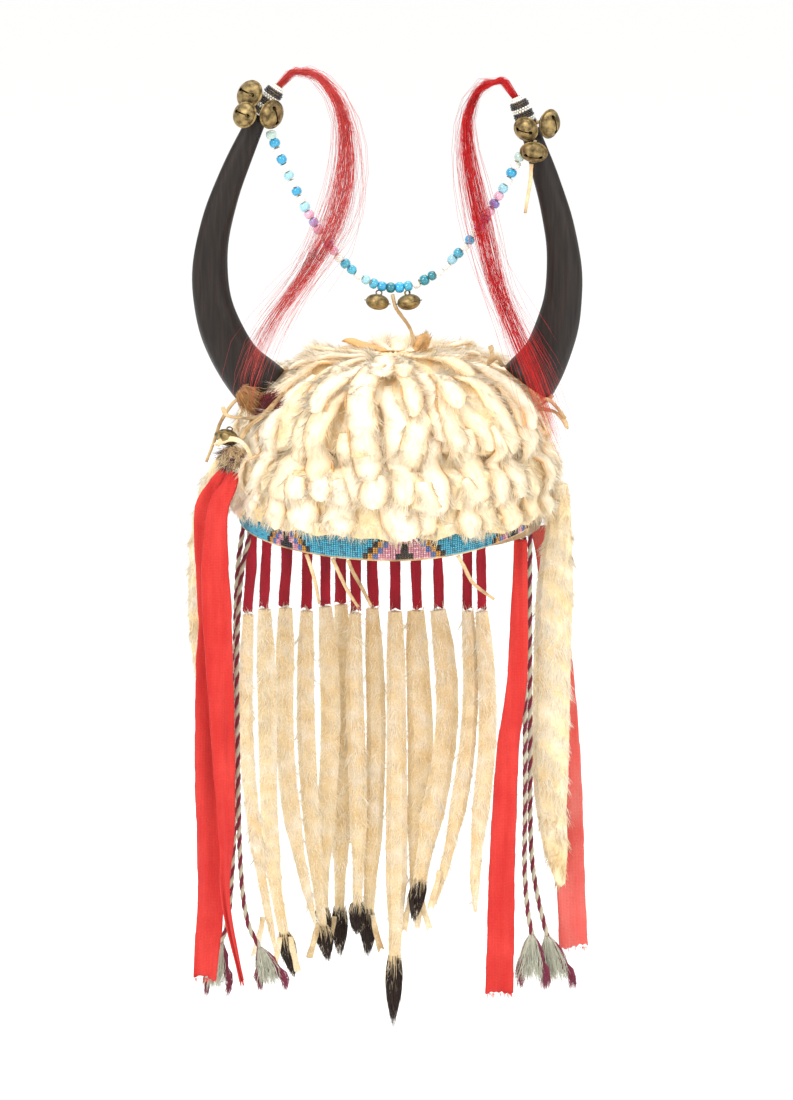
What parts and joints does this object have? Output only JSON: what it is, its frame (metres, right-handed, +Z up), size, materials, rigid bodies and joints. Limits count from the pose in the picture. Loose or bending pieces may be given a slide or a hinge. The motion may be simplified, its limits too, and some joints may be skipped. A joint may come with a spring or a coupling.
{
  "type": "horned war bonnet",
  "caption": "Fur-covered cap with a beaded browband, two upright horns joined by a bead string, bells, red plumes and hanging fur, cloth and wool pendants.",
  "frame": {"origin": "middle of the head opening, at the level of the cap's rim, where the bonnet sits on a head or a stand", "axes": "+Z up through the crown, -Y towards the front with the middle of the browband, +X towards the viewer's right as seen from the front"},
  "size_m": [0.2622, 0.2223, 0.6628],
  "materials": {
    "felt": "hide and felt cap under the fur",
    "white_fur": "short dense white fur with tan skin edges",
    "drop_fur": "cream and tan fur",
    "skin_fur": "long white fur",
    "beadwork": "rows of small opaque glass seed beads",
    "horn": "near-black polished horn with a faint lengthwise grain",
    "seed_wrap": "rows of white and black seed beads",
    "brass": "aged dark brass",
    "glass_bead": "opaque blue, white, turquoise and purple glass beads",
    "horsehair": "dyed red horsehair",
    "red_cloth": "thin bright red cloth",
    "stroud": "dark crimson wool cloth",
    "wool": "two-ply wool yarn, maroon and grey",
    "tassel": "unspun ends of wool yarn",
    "hide": "soft tanned hide"
  },
  "bodies": {
    "root": {"cap_shell": "felt", "fur_tier_crown": "white_fur", "fur_tier_middle": "white_fur", "fur_tier_low": "white_fur", "fur_tuft_crown": "white_fur", "fur_drop_01": "drop_fur", "fur_drop_02": "drop_fur", "fur_drop_03": "drop_fur", "fur_drop_04": "drop_fur", "fur_drop_05": "drop_fur", "fur_drop_06": "drop_fur", "fur_drop_07": "drop_fur", "fur_drop_08": "drop_fur", "fur_drop_09": "drop_fur", "fur_drop_10": "drop_fur", "fur_drop_11": "drop_fur", "fur_drop_12": "drop_fur", "fur_drop_13": "drop_fur", "fur_skin_left": "skin_fur", "fur_skin_right": "skin_fur", "brow_band": "beadwork", "horn_left": "horn", "horn_right": "horn", "bead_wrap_left": "seed_wrap", "bead_wrap_right": "seed_wrap", "bell_centre_left": "brass", "bell_centre_right": "brass", "bell_left_inner": "brass", "bell_left_lower": "brass", "bell_left_upper": "brass", "bell_right_inner": "brass", "bell_right_lower": "brass", "bell_right_outer": "brass", "bell_side_left": "brass", "bead_string": "glass_bead", "plume_left": "horsehair", "plume_right": "horsehair", "streamer_left_slim": "red_cloth", "streamer_left_wide": "red_cloth", "streamer_right_front": "red_cloth", "streamer_right_rear": "red_cloth", "stroud_fringe": "stroud", "yarn_left_inner": "wool", "yarn_left_outer": "wool", "yarn_right_inner": "wool", "yarn_right_outer": "wool", "tassel_left_inner": "tassel", "tassel_left_outer": "tassel", "tassel_right_inner": "tassel", "tassel_right_outer": "tassel", "thong_bell_right": "hide", "thong_centre": "hide", "thong_front_inner": "hide", "thong_front_left": "hide", "thong_front_middle": "hide", "thong_front_right": "hide", "thong_side_left": "hide", "thong_side_right": "hide", "tie_knot_left": "hide"}
  },
  "joints": []
}
